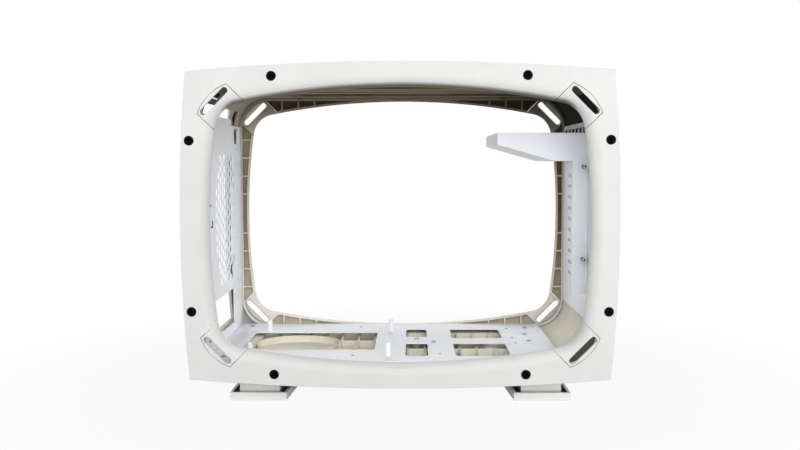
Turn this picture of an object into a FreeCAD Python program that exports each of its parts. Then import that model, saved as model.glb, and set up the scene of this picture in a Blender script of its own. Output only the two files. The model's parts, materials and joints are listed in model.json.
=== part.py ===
import FreeCAD, Part
import Sketcher
import os
import re

# Open computer case in the shape of a picture tube set.
# Millimetres, X to the right, Y towards the back, Z up, the origin on the floor under the middle.

DIMENSIONS = [
    # Front and rear frames
    ("case_width", 476, "frame at mid height"),
    ("frame_height", 355, "frame at mid width"),
    ("case_depth", 276, "front face to rear face"),
    ("side_bow", 8, "rise of the bowed sides"),
    ("top_bow", 9.8, "rise of the bowed top and bottom"),
    ("frame_wall", 3, "face and rim of a frame"),
    ("rim_depth", 26, "outer rim behind the face"),
    ("lip_depth", 13, "inner lip behind the face"),
    ("lip_radius", 12.5, "roll of the lip"),
    ("side_border", 30, "outside to the lip at mid height"),
    ("top_border", 26.8, "outside to the lip at mid width"),
    ("opening_side_bow", 11, "rise of the lip sides"),
    ("opening_top_bow", 21.5, "rise of the lip top and bottom"),
    ("opening_corner", 30, "lip corner radius"),
    ("ring_side_step", 8, "lip to the inside of the ring wall, at the sides"),
    ("ring_top_step", 1.3, "lip to the inside of the ring wall, at the top"),
    ("ring_corner", 36, "ring corner radius inside"),
    ("pocket_depth", 6, "rib cells behind the lip"),
    ("rib_wall", 2, "thickness of a rib"),
    ("side_rib_edge", 51, "last side rib from the lip"),
    ("side_rib_pitch", 24.4, "side rib spacing"),
    ("top_rib_edge", 46.2, "last top rib from the lip"),
    ("top_rib_pitch", 22, "top rib spacing"),
    ("clearance", 0.3, "gap between fitted pieces"),
    # Corner inserts with handle slots
    ("insert_width", 45.5, "insert across the corner"),
    ("insert_side", 5.5, "insert centre inside the lip, left to right"),
    ("insert_drop", 12, "insert centre inside the lip, up and down"),
    ("insert_arc", 56, "radius of the insert's outer edge"),
    ("insert_rise", 4, "rise of the insert's outer edge"),
    ("insert_wall", 3, "insert walls"),
    ("insert_gap", 0.6, "gap round an insert in the face"),
    ("slot_side", 3, "slot centre inside the insert centre, left to right"),
    ("slot_drop", 3.4, "slot centre inside the insert centre, up and down"),
    ("slot_length", 39.5, "slot end to end"),
    ("slot_width", 7.4, "slot across"),
    # Snap sockets for the cover panels
    ("socket_diameter", 10.7, "socket outside"),
    ("socket_length", 9, "socket behind the face"),
    ("socket_bore", 6.4, "socket mouth"),
    ("socket_bore_depth", 6, "socket mouth depth"),
    ("socket_boss_wall", 2.2, "boss round a socket"),
    ("socket_top_x", 137.5, "top sockets from mid width"),
    ("socket_top_edge", 15.5, "top sockets below the outside"),
    ("socket_side_edge", 11, "side sockets inside the outside"),
    ("socket_side_z", 93, "side sockets from mid height"),
    # Shell halves
    ("tunnel_step", 3.5, "ring inside to shell inside"),
    ("skin_side_inset", 9, "frame outside to shell outside, at the sides"),
    ("skin_top_inset", 11, "frame outside to shell outside, at the top"),
    ("skin_corner", 30, "shell corner radius outside"),
    ("shell_wall", 2.5, "shell walls"),
    ("foot_lift", 29.5, "floor to the shell"),
    # Sheet metal
    ("sheet", 1.2, "sheet thickness"),
    ("tray_lift", 5.5, "tray top above the shell floor"),
    ("tray_edge", 35, "tray edge to the right panel"),
    ("tray_fold", 3.6, "folded tray edge"),
    ("cutout_corner", 5, "corner radius of the tray cut-outs"),
    ("large_window_edge", 30, "large tray window from the left panel"),
    ("large_window_right", 31, "large tray window left of the middle"),
    ("large_window_front", 61, "large tray window before mid depth"),
    ("large_window_back", 54, "large tray window behind mid depth"),
    ("small_window_x", 6, "small tray windows right of the middle"),
    ("small_window_width", 26, "small tray windows across"),
    ("side_window_x", 63, "side tray windows right of the middle"),
    ("side_window_width", 63, "side tray windows across"),
    ("front_window_front", 96, "front tray windows before mid depth"),
    ("front_window_back", 19, "front tray windows, rear edge before mid depth"),
    ("small_back_front", 21, "rear small window, front edge"),
    ("side_back_front", 14, "rear side window, front edge"),
    ("back_window_back", 78, "rear tray windows, rear edge"),
    ("vent_y", 22, "vent centre behind mid depth"),
    ("vent_depth", 134, "vent front to back"),
    ("vent_height", 172, "vent bottom to top"),
    ("vent_pitch", 13.6, "hexagon spacing"),
    ("vent_hole", 11.4, "hexagon across flats"),
    ("fan_hole_spacing", 124.5, "fan screw holes"),
    ("fan_hole", 4.6, "fan screw hole"),
    ("io_back", 67, "connector opening, rear edge"),
    ("io_length", 158.75, "connector opening, front to back"),
    ("io_height", 44.45, "connector opening, bottom to top"),
    ("io_lift", 12, "connector opening above the tray"),
    ("shell_window_margin", 6.25, "shell window beyond the connector opening"),
    ("shell_window_top", 112, "shell window above mid height"),
    ("corner_window_front", 105, "upper shell windows before mid depth"),
    ("corner_window_back", 100, "upper shell windows behind mid depth"),
    ("corner_bar_y", 57, "bar between the upper shell windows, front edge"),
    ("corner_bar", 9, "bar between the upper shell windows"),
    ("corner_window_low", 118, "upper shell windows above mid height"),
    ("corner_window_high", 136, "upper shell windows, top edge above mid height"),
    ("slot_window_low", 141.5, "shell window behind the corner slot, above mid height"),
    ("slot_window_high", 148, "shell window behind the corner slot, top edge above mid height"),
    ("slot_window_back", 55, "shell window behind the corner slot, rear edge before mid depth"),
    ("panel_tab", 124, "raised edge of the connector panel above mid height"),
    ("cable_slot_y", 76, "cable slot behind mid depth"),
    ("cable_slot_width", 28, "cable slot front to back"),
    ("cable_slot_z", 94, "cable slot above mid height"),
    ("cable_slot_height", 20, "cable slot bottom to top"),
    ("side_slot_front", 60, "first right panel slot before mid depth"),
    ("side_slot_pitch", 26, "right panel slot spacing"),
    ("side_slot_length", 18, "right panel slot"),
    ("side_slot_drop", 5.5, "right panel slots below the panel top"),
    ("side_slot_height", 13, "right panel slot"),
    ("slit_front", 62, "stepped slit, front run"),
    ("slit_back", 94, "stepped slit, rear run"),
    ("slit_top", 29, "stepped slit above mid height"),
    ("slit_step", 14.6, "stepped slit, height of a step"),
    ("slit_width", 1.5, "stepped slit across"),
    ("panel_hole", 5, "round hole in the connector panel"),
    ("panel_hole_drop", 6, "round hole below the cable slot"),
    ("tie_y", 69, "tie slots before mid depth"),
    ("tie_top", 31, "first tie slot below mid height"),
    ("tie_pitch", 14, "tie slot spacing"),
    ("tie_length", 5, "tie slot bottom to top"),
    ("tie_width", 2, "tie slot across"),
    ("rack_y", 58, "slot column on the right panel behind mid depth"),
    ("rack_length", 24, "slot in the column"),
    ("rack_height", 4, "slot in the column"),
    ("rack_pitch", 14, "slot column spacing"),
    ("rack_bottom", 76, "slot column start below mid height"),
    # Board posts on the tray
    ("board_hole_x", 157.48, "board hole spacing, left to right"),
    ("board_hole_y", 154.94, "board hole spacing, front to back"),
    ("board_x", 92.5, "board centre left of the middle"),
    ("board_y", 16.5, "board centre before mid depth"),
    ("post_height", 15, "post above the tray"),
    ("post_diameter", 6, "post outside"),
    ("post_hole", 2.9, "post thread core"),
    ("post_hole_depth", 8, "post thread depth"),
    # Arm bracket on the right
    ("arm_front", 58, "arm front plate before mid depth"),
    ("arm_back", 112, "arm rear plate behind mid depth"),
    ("arm_drop", 52.5, "arm top below the shell ceiling"),
    ("arm_length", 105.4, "arm end from the right panel"),
    ("arm_tip_depth", 13.6, "arm end face"),
    ("arm_root", 39, "arm slope end from the right panel"),
    ("arm_root_depth", 32.6, "arm at its root"),
    ("leg_width", 18, "arm leg across"),
    ("leg_lift", 70.5, "arm leg above the shell floor"),
    ("spacer_diameter", 5, "leg spacer"),
    ("spacer_length", 10, "leg spacer before the leg"),
    ("spacer_hole", 2.9, "leg spacer thread core"),
    ("spacer_edge", 5.6, "leg spacer from the panel"),
    ("spacer_top", 64.2, "upper spacer above mid height"),
    ("spacer_bottom", 43.7, "lower spacer below mid height"),
    # Floor of the shell
    ("cell_pitch_x", 21, "floor cells, left to right"),
    ("cell_pitch_y", 52, "floor cells, front to back"),
    ("cell_wall", 2.4, "ribs between floor cells"),
    ("cell_offset", 7, "first rib right of the middle"),
    ("cell_left_inset", 16, "floor cells clear of the shell, left"),
    ("cell_right_inset", 82, "floor cells clear of the shell, right"),
    ("dish_diameter", 100, "round dish in the floor"),
    ("dish_edge", 90, "dish centre from the left panel"),
    ("dish_y", 12, "dish centre behind mid depth"),
    ("small_dish_diameter", 70, "small dish in the floor"),
    ("small_dish_edge", 82.5, "small dish centre from the right panel"),
    ("small_dish_y", 8, "small dish centre behind mid depth"),
    ("boss_diameter", 8, "screw bosses and spacers under the tray"),
    ("screw_diameter", 3, "tray screw shank"),
    ("screw_head", 5.6, "tray screw head"),
    ("screw_head_height", 1.6, "tray screw head"),
    ("screw_length", 9, "tray screw shank length"),
    ("screw_left_edge", 18, "left tray screws from the left panel"),
    ("screw_left_front", 100, "left tray screw before mid depth"),
    ("screw_left_back", 95, "left tray screw behind mid depth"),
    ("screw_mid_x", 19, "middle tray screw right of the middle"),
    ("screw_mid_y", 8, "middle tray screw behind mid depth"),
    ("screw_window_x", 39.7, "tray screw between the windows"),
    ("screw_window_y", 12, "tray screw between the windows, before mid depth"),
    ("screw_right_edge", 26.5, "right tray screws from the tray edge"),
    ("screw_right_front", 5, "right tray screw before mid depth"),
    ("screw_right_back", 39, "right tray screw behind mid depth"),
    ("screw_corner_edge", 21, "rear tray screw from the tray edge"),
    ("screw_corner_back", 86, "rear tray screw behind mid depth"),
    ("screw_front_edge", 45, "front tray screw from the tray edge"),
    ("screw_front", 106, "front tray screw before mid depth"),
    ("hook_length", 44, "slots in the shell ceiling, left to right"),
    ("hook_width", 8, "slots in the shell ceiling, front to back"),
    ("hook_left", 57, "left ceiling slots from mid width"),
    ("hook_right", 88, "right ceiling slots from mid width"),
    ("hook_y", 60, "ceiling slots from mid depth"),
    # Feet
    ("foot_inset", 80, "foot centre from the outside"),
    ("foot_setback", 18, "foot front edge behind the face"),
    ("foot_length", 72, "foot front to back"),
    ("foot_front_width", 63, "foot across its front end"),
    ("foot_flare", 5, "foot side, how far it spreads to its inner end"),
    ("foot_plate", 8.6, "foot plate thickness"),
    ("foot_rim", 3, "rim round the hollow in a foot plate"),
    ("foot_floor", 2.6, "foot plate under its hollow"),
    ("neck_width", 45, "foot neck across"),
    ("neck_length", 50, "foot neck front to back"),
    ("pad_height", 1, "rubber pad"),
    ("pad_diameter", 18, "rubber pad"),
    # Control module on the right of the shell
    ("module_y", 78, "module before mid depth"),
    ("module_z", 60, "module above mid height"),
    ("module_length", 84, "module bottom to top"),
    ("module_width", 18, "module across"),
    ("module_corner", 6, "module corner radius"),
    ("module_floor", 1.2, "module wall behind its pockets"),
    ("module_proud", 0.8, "module face proud of the shell"),
    ("button_diameter", 12, "power button"),
    ("button_thick", 4, "power button cap"),
    ("button_proud", 0.4, "power button proud of the module"),
    ("button_travel", 1.5, "power button travel"),
    ("button_offset", 30, "power button above the module centre"),
    ("switch_size", 6, "switch body"),
    ("switch_height", 3.5, "switch body"),
    ("port_length", 13.2, "data port opening"),
    ("port_width", 5.8, "data port opening"),
    ("port_depth", 6, "data port opening"),
    ("port_pitch", 20, "data port spacing"),
    ("port_start", 4, "first data port below the module centre"),
    ("port_wall", 0.5, "data port metal"),
    ("port_tongue", 1.8, "data port tongue"),
    ("jack_diameter", 6, "sound jack"),
    ("jack_bore", 3.5, "sound jack mouth"),
    ("jack_offset", 14, "sound jack above the module centre"),
]

# Sizes and places that follow from those above, as formulas of the sheet
DERIVED = [
    ("opening_width", "case_width - 2 * side_border", "lip at mid height"),
    ("opening_height", "frame_height - 2 * top_border", "lip at mid width"),
    ("ring_width", "opening_width + 2 * ring_side_step", "inside of the ring wall"),
    ("ring_height", "opening_height + 2 * ring_top_step", "inside of the ring wall"),
    ("insert_x", "opening_width / 2 - insert_side", "insert centre from mid width"),
    ("insert_z", "opening_height / 2 - insert_drop", "insert centre from mid height"),
    ("slot_x", "insert_x - slot_side", "slot centre from mid width"),
    ("slot_z", "insert_z - slot_drop", "slot centre from mid height"),
    ("socket_top_z", "frame_height / 2 - socket_top_edge", "top sockets from mid height"),
    ("socket_side_x", "case_width / 2 - socket_side_edge", "side sockets from mid width"),
    ("tunnel_width", "ring_width + 2 * tunnel_step", "inside of the shell"),
    ("tunnel_height", "ring_height + 2 * tunnel_step", "inside of the shell"),
    ("tunnel_corner", "ring_corner + frame_wall", "shell corner radius inside"),
    ("skin_width", "case_width - 2 * skin_side_inset", "outside of the shell"),
    ("skin_height", "frame_height - 2 * skin_top_inset", "outside of the shell"),
    ("face", "case_depth / 2", "front face from mid depth"),
    ("lip_end", "face - lip_depth", "back of a frame's lip from mid depth"),
    ("shell_end", "lip_end - clearance", "end of a shell half from mid depth"),
    ("sheet_reach", "shell_end - clearance", "ends of the sheet panels from mid depth"),
    ("middle", "foot_lift + skin_height / 2", "mid height above the ground"),
    ("tunnel_floor", "middle - tunnel_height / 2", "inside floor of the shell"),
    ("tray_top", "tunnel_floor + tray_lift", "tray top above the ground"),
    ("panel", "tunnel_width / 2 - clearance - sheet", "inner faces of the upright panels"),
    ("panel_top", "tunnel_height / 2 - tunnel_corner", "upright panels above mid height"),
    ("tray_right", "panel - tray_edge", "tray edge right of the middle"),
    ("tray_back", "sheet_reach - tray_fold", "tray rear edge"),
    ("io_bottom", "tray_top + io_lift", "connector opening above the ground"),
    ("io_front", "io_back - io_length", "connector opening, front edge"),
    ("shell_window_front", "io_front - shell_window_margin", "shell window, front edge"),
    ("shell_window_back", "face - rim_depth", "shell window, rear edge"),
    ("arm_top", "tunnel_height / 2 - arm_drop", "arm above mid height"),
    ("leg_bottom", "tunnel_height / 2 - leg_lift", "arm leg below mid height"),
    ("foot_x", "case_width / 2 - foot_inset", "foot centre from mid width"),
    ("foot_front", "face - foot_setback", "foot front edge before mid depth"),
]
ALIASES = {name for name, size, note in DIMENSIONS + DERIVED}

DIAGONAL = "cos(45 deg)"

X_AXIS = FreeCAD.Vector(1, 0, 0)
Y_AXIS = FreeCAD.Vector(0, 1, 0)
Z_AXIS = FreeCAD.Vector(0, 0, 1)

doc = FreeCAD.newDocument("computer_case")
sheet = doc.addObject("Spreadsheet::Sheet", "dims")
formulas = [(name, f"={formula}", note) for name, formula, note in DERIVED]
for row, (name, size, note) in enumerate(DIMENSIONS + formulas, start=1):
    sheet.set(f"A{row}", name)
    sheet.set(f"B{row}", str(size))
    sheet.set(f"C{row}", note)
    sheet.setAlias(f"B{row}", name)
doc.recompute()
parts = {}


def value(name):
    """Number in the sheet, with an optional sign before its name."""
    if name.startswith("-"):
        return -float(getattr(sheet, name[1:]))
    return float(getattr(sheet, name))


def expression(text):
    """Expression with every sheet name made a reference to the sheet."""
    return re.sub(r"[a-z_]+", lambda word: f"dims.{word[0]}" if word[0] in ALIASES else word[0], text)


def bind(item, **texts):
    for prop, text in texts.items():
        item.setExpression(prop, expression(text))
    return item


def place(item, x, y, z):
    for axis, text in zip("xyz", (x, y, z)):
        item.setExpression(f"Placement.Base.{axis}", expression(text))
    return item


def box(name, x, y, z):
    """Block between a low and a high limit on each axis."""
    item = doc.addObject("Part::Box", name)
    for prop, (low, high) in zip(("Length", "Width", "Height"), (x, y, z)):
        item.setExpression(prop, expression(f"({high}) - ({low})"))
    return place(item, x[0], y[0], z[0])


def rod(name, axis, centre, low, high, diameter):
    """Round bar along one axis; centre holds its other two coordinates in axis order."""
    item = doc.addObject("Part::Cylinder", name)
    bind(item, Radius=f"({diameter}) / 2", Height=f"({high}) - ({low})")
    if axis == "x":
        item.Placement.Rotation = FreeCAD.Rotation(Y_AXIS, 90)
        return place(item, low, centre[0], centre[1])
    if axis == "y":
        item.Placement.Rotation = FreeCAD.Rotation(X_AXIS, -90)
        return place(item, centre[0], low, centre[1])
    return place(item, centre[0], centre[1], low)


def cut(name, base, tool):
    item = doc.addObject("Part::Cut", name)
    item.Base = base
    item.Tool = tool
    return item


def fuse(name, items):
    item = doc.addObject("Part::MultiFuse", name)
    item.Shapes = items
    item.Refine = True
    return item


def common(name, items):
    item = doc.addObject("Part::MultiCommon", name)
    item.Shapes = items
    return item


def group(name, items):
    """Separate solids that stay separate."""
    item = doc.addObject("Part::Compound", name)
    item.Links = items
    return item


def mirrored(name, source, normal):
    """Copy on the other side of a middle plane of the case."""
    item = doc.addObject("Part::Mirroring", name)
    item.Source = source
    item.Normal = normal
    item.setExpression("Base.z", expression("middle"))
    return item


def round_edges(name, base, radius, chosen):
    doc.recompute()
    item = doc.addObject("Part::Fillet", name)
    item.Base = base
    edges = enumerate(base.Shape.Edges, start=1)
    item.Edges = [(number, radius, radius) for number, edge in edges if chosen(edge)]
    return item


def runs_along(axis):
    """Test for a straight edge in the direction of an axis."""
    def test(edge):
        straight = isinstance(edge.Curve, Part.Line)
        return straight and abs(edge.tangentAt(edge.FirstParameter).dot(axis)) > 0.999
    return test


def rounded_block(name, width, height, corner, start, end, grow=""):
    """Block about the middle of the case, along Y, with its four long edges rounded."""
    half_x = f"({width} / 2 {signed(grow)})"
    half_z = f"({height} / 2 {signed(grow)})"
    limits_z = (f"middle - {half_z}", f"middle + {half_z}")
    block = box(f"{name}_block", (f"-{half_x}", half_x), (start, end), limits_z)
    radius = value(corner) + (value(grow) if grow else 0)
    return round_edges(name, block, radius, runs_along(Y_AXIS))


def signed(grow):
    """Term that adds or takes away a named size."""
    if not grow:
        return ""
    return grow if grow.startswith("-") else f"+ {grow}"


def bowed_prism(name, width, height, side_bow, top_bow, start, end, grow=""):
    """Outline of four bowed sides about the middle of the case, carried along Y."""
    growth = value(grow) if grow else 0
    mid_x = value(width) / 2 + growth
    mid_z = value(height) / 2 + growth
    corner_x = mid_x - value(side_bow)
    corner_z = mid_z - value(top_bow)
    corners = [(corner_x, corner_z), (-corner_x, corner_z), (-corner_x, -corner_z), (corner_x, -corner_z)]
    middles = [(0, mid_z), (-mid_x, 0), (0, -mid_z), (mid_x, 0)]
    sketch = doc.addObject("Sketcher::SketchObject", f"{name}_outline")
    sketch.Placement.Rotation = FreeCAD.Rotation(X_AXIS, 90)
    place(sketch, "0", start, "middle")
    for side in range(4):
        points = (corners[side], middles[side], corners[(side + 1) % 4])
        sketch.addGeometry(Part.Arc(*[FreeCAD.Vector(x, z, 0) for x, z in points]))
    for side in range(4):
        sketch.addConstraint(Sketcher.Constraint("Coincident", side, 2, (side + 1) % 4, 1))
    sketch.addConstraint(Sketcher.Constraint("Symmetric", 0, 1, 0, 2, -2))
    sketch.addConstraint(Sketcher.Constraint("Symmetric", 0, 1, 2, 2, -1))
    sketch.addConstraint(Sketcher.Constraint("Symmetric", 0, 1, 1, 2, -1, 1))
    sketch.addConstraint(Sketcher.Constraint("Equal", 0, 2))
    sketch.addConstraint(Sketcher.Constraint("Equal", 1, 3))
    reach_x = f"({width} / 2 {signed(grow)} - {side_bow})"
    reach_z = f"({height} / 2 {signed(grow)} - {top_bow})"
    top_radius = f"({reach_x} ^ 2 + {top_bow} ^ 2) / (2 * {top_bow})"
    side_radius = f"({reach_z} ^ 2 + {side_bow} ^ 2) / (2 * {side_bow})"
    drive(sketch, Sketcher.Constraint("DistanceX", -1, 1, 0, 1, corner_x), reach_x)
    drive(sketch, Sketcher.Constraint("DistanceY", -1, 1, 0, 1, corner_z), reach_z)
    drive(sketch, Sketcher.Constraint("Radius", 0, arc_radius(corner_x, value(top_bow))), top_radius)
    drive(sketch, Sketcher.Constraint("Radius", 1, arc_radius(corner_z, value(side_bow))), side_radius)
    return carried(name, sketch, Y_AXIS, f"({end}) - ({start})")


def arc_radius(half_chord, rise):
    return (half_chord ** 2 + rise ** 2) / (2 * rise)


def drive(sketch, constraint, text):
    """Dimension of a sketch that follows the sheet."""
    number = sketch.addConstraint(constraint)
    sketch.setExpression(f"Constraints[{number}]", expression(text))


def carried(name, profile, direction, length):
    item = doc.addObject("Part::Extrusion", name)
    item.Base = profile
    item.DirMode = "Custom"
    item.Dir = direction
    item.Solid = True
    return bind(item, LengthFwd=length)


def corner_strip(name, centre, across, inward, outward, start, end):
    """Bar square to the diagonal of the upper right corner, by its reach along that diagonal."""
    item = doc.addObject("Part::Box", name)
    item.Placement.Rotation = FreeCAD.Rotation(Y_AXIS, 45)
    bind(item, Length=across, Height=f"({inward}) + ({outward})", Width=f"({end}) - ({start})")
    x, z = centre
    base_x = f"{x} - {DIAGONAL} * (({across}) / 2 + ({inward}))"
    base_z = f"middle + {z} + {DIAGONAL} * (({across}) / 2 - ({inward}))"
    return place(item, base_x, start, base_z)


def keep(label, item):
    item.Label = label
    parts[label] = item


def socket_places():
    """Centres of the eight snap sockets of a frame, from the middle of the case."""
    for x, z in (("socket_top_x", "socket_top_z"), ("socket_side_x", "socket_side_z")):
        for sign_x in "-+":
            for sign_z in "-+":
                yield f"{sign_x}{x}", f"(middle {sign_z} {z})"


def four_corners(name, item):
    """A tool at the upper right corner and its copies at the other three."""
    left = mirrored(f"{name}_left", item, X_AXIS)
    both = group(f"{name}_upper", [item, left])
    lower = mirrored(f"{name}_lower", both, Z_AXIS)
    return [both, lower]


def frame_body():
    """Face, rim, ring block and rolled lip of a frame, before its cells and holes."""
    outer = ("case_width", "frame_height", "side_bow", "top_bow")
    opening = ("opening_width", "opening_height", "opening_side_bow", "opening_top_bow")
    shape = bowed_prism("frame_block", *outer, "-face", "-face + rim_depth")
    hollow = bowed_prism("frame_hollow", *outer, "-face + frame_wall", "-face + rim_depth", "-frame_wall")
    ring = rounded_block("ring_block", "ring_width", "ring_height", "ring_corner",
                         "-face + frame_wall / 2", "-lip_end", "frame_wall")
    bosses = [rod(f"socket_boss_{n}", "y", at, "-face + frame_wall / 2",
                  "-face + socket_length + frame_wall / 2", "socket_diameter + 2 * socket_boss_wall")
              for n, at in enumerate(socket_places())]
    bosses_inside = common("socket_bosses", [group("boss_rods", bosses), shape])
    pan = fuse("frame_pan", [cut("frame_shell", shape, hollow), ring, bosses_inside])
    mouth = bowed_prism("mouth", *opening, "-face", "-lip_end")
    mouth = round_edges("mouth_round", mouth, value("opening_corner"), runs_along(Y_AXIS))
    open_pan = cut("frame_open", pan, mouth)

    def on_mouth(edge):
        box_of = edge.BoundBox
        reach = value("opening_width") / 2 + value("clearance")
        in_face = abs(box_of.YMin + value("case_depth") / 2) < 1e-3 and box_of.YLength < 1e-3
        return in_face and max(abs(box_of.XMin), abs(box_of.XMax)) < reach
    return round_edges("frame_lip", open_pan, value("lip_radius"), on_mouth), opening


def rib_bars():
    """Bars that stay between the cells behind the lip."""
    bars = []
    across = ("-case_width / 2", "case_width / 2")
    upright = ("middle - frame_height / 2", "middle + frame_height / 2")
    depth = ("-face", "-lip_end")
    for sign in "-+":
        for step in range(SIDE_RIBS):
            z = f"(middle {sign} (opening_height / 2 - side_rib_edge - {step} * side_rib_pitch))"
            bars.append(box("side_rib", across, depth, (f"{z} - rib_wall / 2", f"{z} + rib_wall / 2")))
        for step in range(TOP_RIBS):
            x = f"({sign} (opening_width / 2 - top_rib_edge - {step} * top_rib_pitch))"
            bars.append(box("top_rib", (f"{x} - rib_wall / 2", f"{x} + rib_wall / 2"), depth, upright))
    return fuse("rib_bars", bars)


def insert_outline(name, gap, ring_gap):
    """Room of a corner insert: a flange in the face and a narrower block inside the ring."""
    strip = corner_strip(f"{name}_strip", ("insert_x", "insert_z"), f"insert_width - 2 * {gap}",
                         "insert_width", "insert_width", "-face", "-lip_end")
    inset = f"{DIAGONAL} * (insert_arc - insert_rise)"
    edge = rod(f"{name}_edge", "y", (f"insert_x - {inset}", f"middle + insert_z - {inset}"), "-face",
               f"-face + frame_wall {ring_gap}", f"2 * (insert_arc - {gap})")
    ring = rounded_block(f"{name}_ring", "ring_width", "ring_height", "ring_corner", "-face", "-lip_end",
                         ring_gap)
    return common(name, [strip, fuse(f"{name}_levels", [edge, ring])])


def make_frames():
    """Front and rear frames, their corner inserts and their snap sockets."""
    lip, opening = frame_body()
    ring = ("ring_width", "ring_height", "ring_corner")
    cell_floor = "-lip_end - pocket_depth"
    cells = rounded_block("cell_block", *ring, cell_floor, "-lip_end")
    lip_wall = bowed_prism("lip_wall", *opening, cell_floor, "-lip_end", "frame_wall")
    lip_wall = round_edges("lip_wall_round", lip_wall, value("opening_corner") + value("frame_wall"),
                           runs_along(Y_AXIS))
    cells = cut("lip_cells", cut("cell_ring", cells, lip_wall), rib_bars())
    seat = insert_outline("insert_seat", "0", "")
    holes = [rod(f"socket_hole_{n}", "y", at, "-face", "-face + socket_length", "socket_diameter")
             for n, at in enumerate(socket_places())]
    tools = group("frame_tools", [cells] + holes)
    seats = group("seats", four_corners("seat", seat))
    front = cut("front_frame_solid", cut("frame_cells", lip, tools), seats)
    keep("front_frame", front)
    keep("rear_frame", mirrored("rear_frame_solid", front, Y_AXIS))

    blank = common("insert_blank", [lip, insert_outline("insert_room", "insert_gap", "-clearance")])
    middle = ("slot_x", "slot_z")
    depth = ("-face", "-lip_end")
    ends = []
    for sign in "-+":
        reach = f"{DIAGONAL} * (slot_length - slot_width) / 2"
        x = f"(slot_x {sign} {reach})"
        z = f"(middle + slot_z - ({sign} {reach}))"
        ends.append(rod("slot_end", "y", (x, z), *depth, "slot_width"))
    bar = corner_strip("slot_bar", middle, "slot_length - slot_width",
                       "slot_width / 2", "slot_width / 2", *depth)
    relief = corner_strip("insert_relief", middle, "insert_width - 2 * insert_wall",
                          "slot_width / 2 + insert_wall", "insert_width", "-face + insert_wall", "-lip_end")
    insert = cut("insert_solid", blank, fuse("insert_slot", ends + [bar, relief]))
    for end, depth_copy in (("front", insert), ("rear", mirrored("insert_rear", insert, Y_AXIS))):
        left = mirrored(f"insert_{end}_left", depth_copy, X_AXIS)
        keep(f"{end}_insert_upper_right", depth_copy)
        keep(f"{end}_insert_upper_left", left)
        keep(f"{end}_insert_lower_right", mirrored(f"insert_{end}_low_right", depth_copy, Z_AXIS))
        keep(f"{end}_insert_lower_left", mirrored(f"insert_{end}_low_left", left, Z_AXIS))

    sockets = []
    for n, at in enumerate(socket_places()):
        body = rod(f"socket_rod_{n}", "y", at, "-face", "-face + socket_length",
                   "socket_diameter - 2 * clearance")
        bore = rod(f"socket_bore_{n}", "y", at, "-face", "-face + socket_bore_depth", "socket_bore")
        sockets.append(cut(f"socket_{n}", body, bore))
    front_sockets = group("front_socket_group", sockets)
    keep("front_sockets", front_sockets)
    keep("rear_sockets", mirrored("rear_socket_group", front_sockets, Y_AXIS))


# Tray screws: place from left to right, place from front to back, shell half below, foot of the spacer if any
CELL_FLOOR = "middle - skin_height / 2 + shell_wall"
TRAY_SCREWS = [
    ("screw_mid_x", "screw_mid_y", "rear_shell", CELL_FLOOR),
    ("screw_window_x", "-screw_window_y", "front_shell", CELL_FLOOR),
    ("tray_right - screw_right_edge", "-screw_right_front", "front_shell", CELL_FLOOR),
    ("tray_right - screw_right_edge", "screw_right_back", "rear_shell", "tunnel_floor"),
    ("tray_right - screw_corner_edge", "screw_corner_back", "rear_shell", "tunnel_floor"),
    ("tray_right - screw_front_edge", "-screw_front", "front_shell", "tunnel_floor"),
    ("screw_left_edge - panel", "-screw_left_front", "front_shell", None),
    ("screw_left_edge - panel", "screw_left_back", "rear_shell", None),
]
# Dishes in the floor: place from left to right and from front to back, diameter
DISHES = [
    (("dish_edge - panel", "dish_y"), "dish_diameter"),
    (("panel - small_dish_edge", "small_dish_y"), "small_dish_diameter"),
]
CELL_RANKS = 2
SIDE_RIBS = 4
TOP_RIBS = 3
SLIT_STEPS = 5
RACK_SLOTS = 10
TIE_SLOTS = 4
VENT_ROUNDNESS = 3
VENT_EDGE = 1.05


def shell_half(name):
    """Front half of the double-walled shell, open towards its frame."""
    skin = ("skin_width", "skin_height", "skin_corner")
    tunnel = ("tunnel_width", "tunnel_height", "tunnel_corner")
    start = "-shell_end"
    end = "-clearance / 2"
    web = "-clearance / 2 - shell_wall"
    tube = cut(f"{name}_tube", rounded_block(f"{name}_skin", *skin, start, end),
               rounded_block(f"{name}_tunnel", *tunnel, start, end))
    cavity = cut(f"{name}_cavity", rounded_block(f"{name}_room", *skin, start, web, "-shell_wall"),
                 rounded_block(f"{name}_liner", *tunnel, start, web, "shell_wall"))
    return cut(f"{name}_double", tube, cavity)


def floor_cells(name):
    """Ribbed floor of the front half: a solid pad and the cells sunk in it."""
    width, pitch, offset = (value(size) for size in ("tunnel_width", "cell_pitch_x", "cell_offset"))
    first = -int((width / 2 - value("cell_left_inset") + offset) / pitch)
    last = int((width / 2 - value("cell_right_inset") - offset) / pitch)
    across = (f"cell_offset + ({first}) * cell_pitch_x", f"cell_offset + ({last}) * cell_pitch_x + cell_wall")
    ribs = [f"(-({rank} + 1 / 2) * cell_pitch_y)" for rank in range(CELL_RANKS)]
    depth = (f"{ribs[-1]} - cell_wall / 2", "-clearance / 2")
    bottom = "middle - skin_height / 2"
    pad = box(f"{name}_pad", across, depth, (bottom, "tunnel_floor"))
    starts = ["-clearance / 2"] + [f"{rib} - cell_wall / 2" for rib in ribs[:-1]]
    cells = []
    for column in range(first, last):
        x = f"cell_offset + cell_wall + ({column}) * cell_pitch_x"
        for start, rib in zip(starts, ribs):
            cells.append(box(f"{name}_cell", (x, f"{x} + cell_pitch_x - cell_wall"),
                             (f"{rib} + cell_wall / 2", start), (f"{bottom} + shell_wall", "tunnel_floor")))
    return pad, group(f"{name}_cells", cells)


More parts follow.
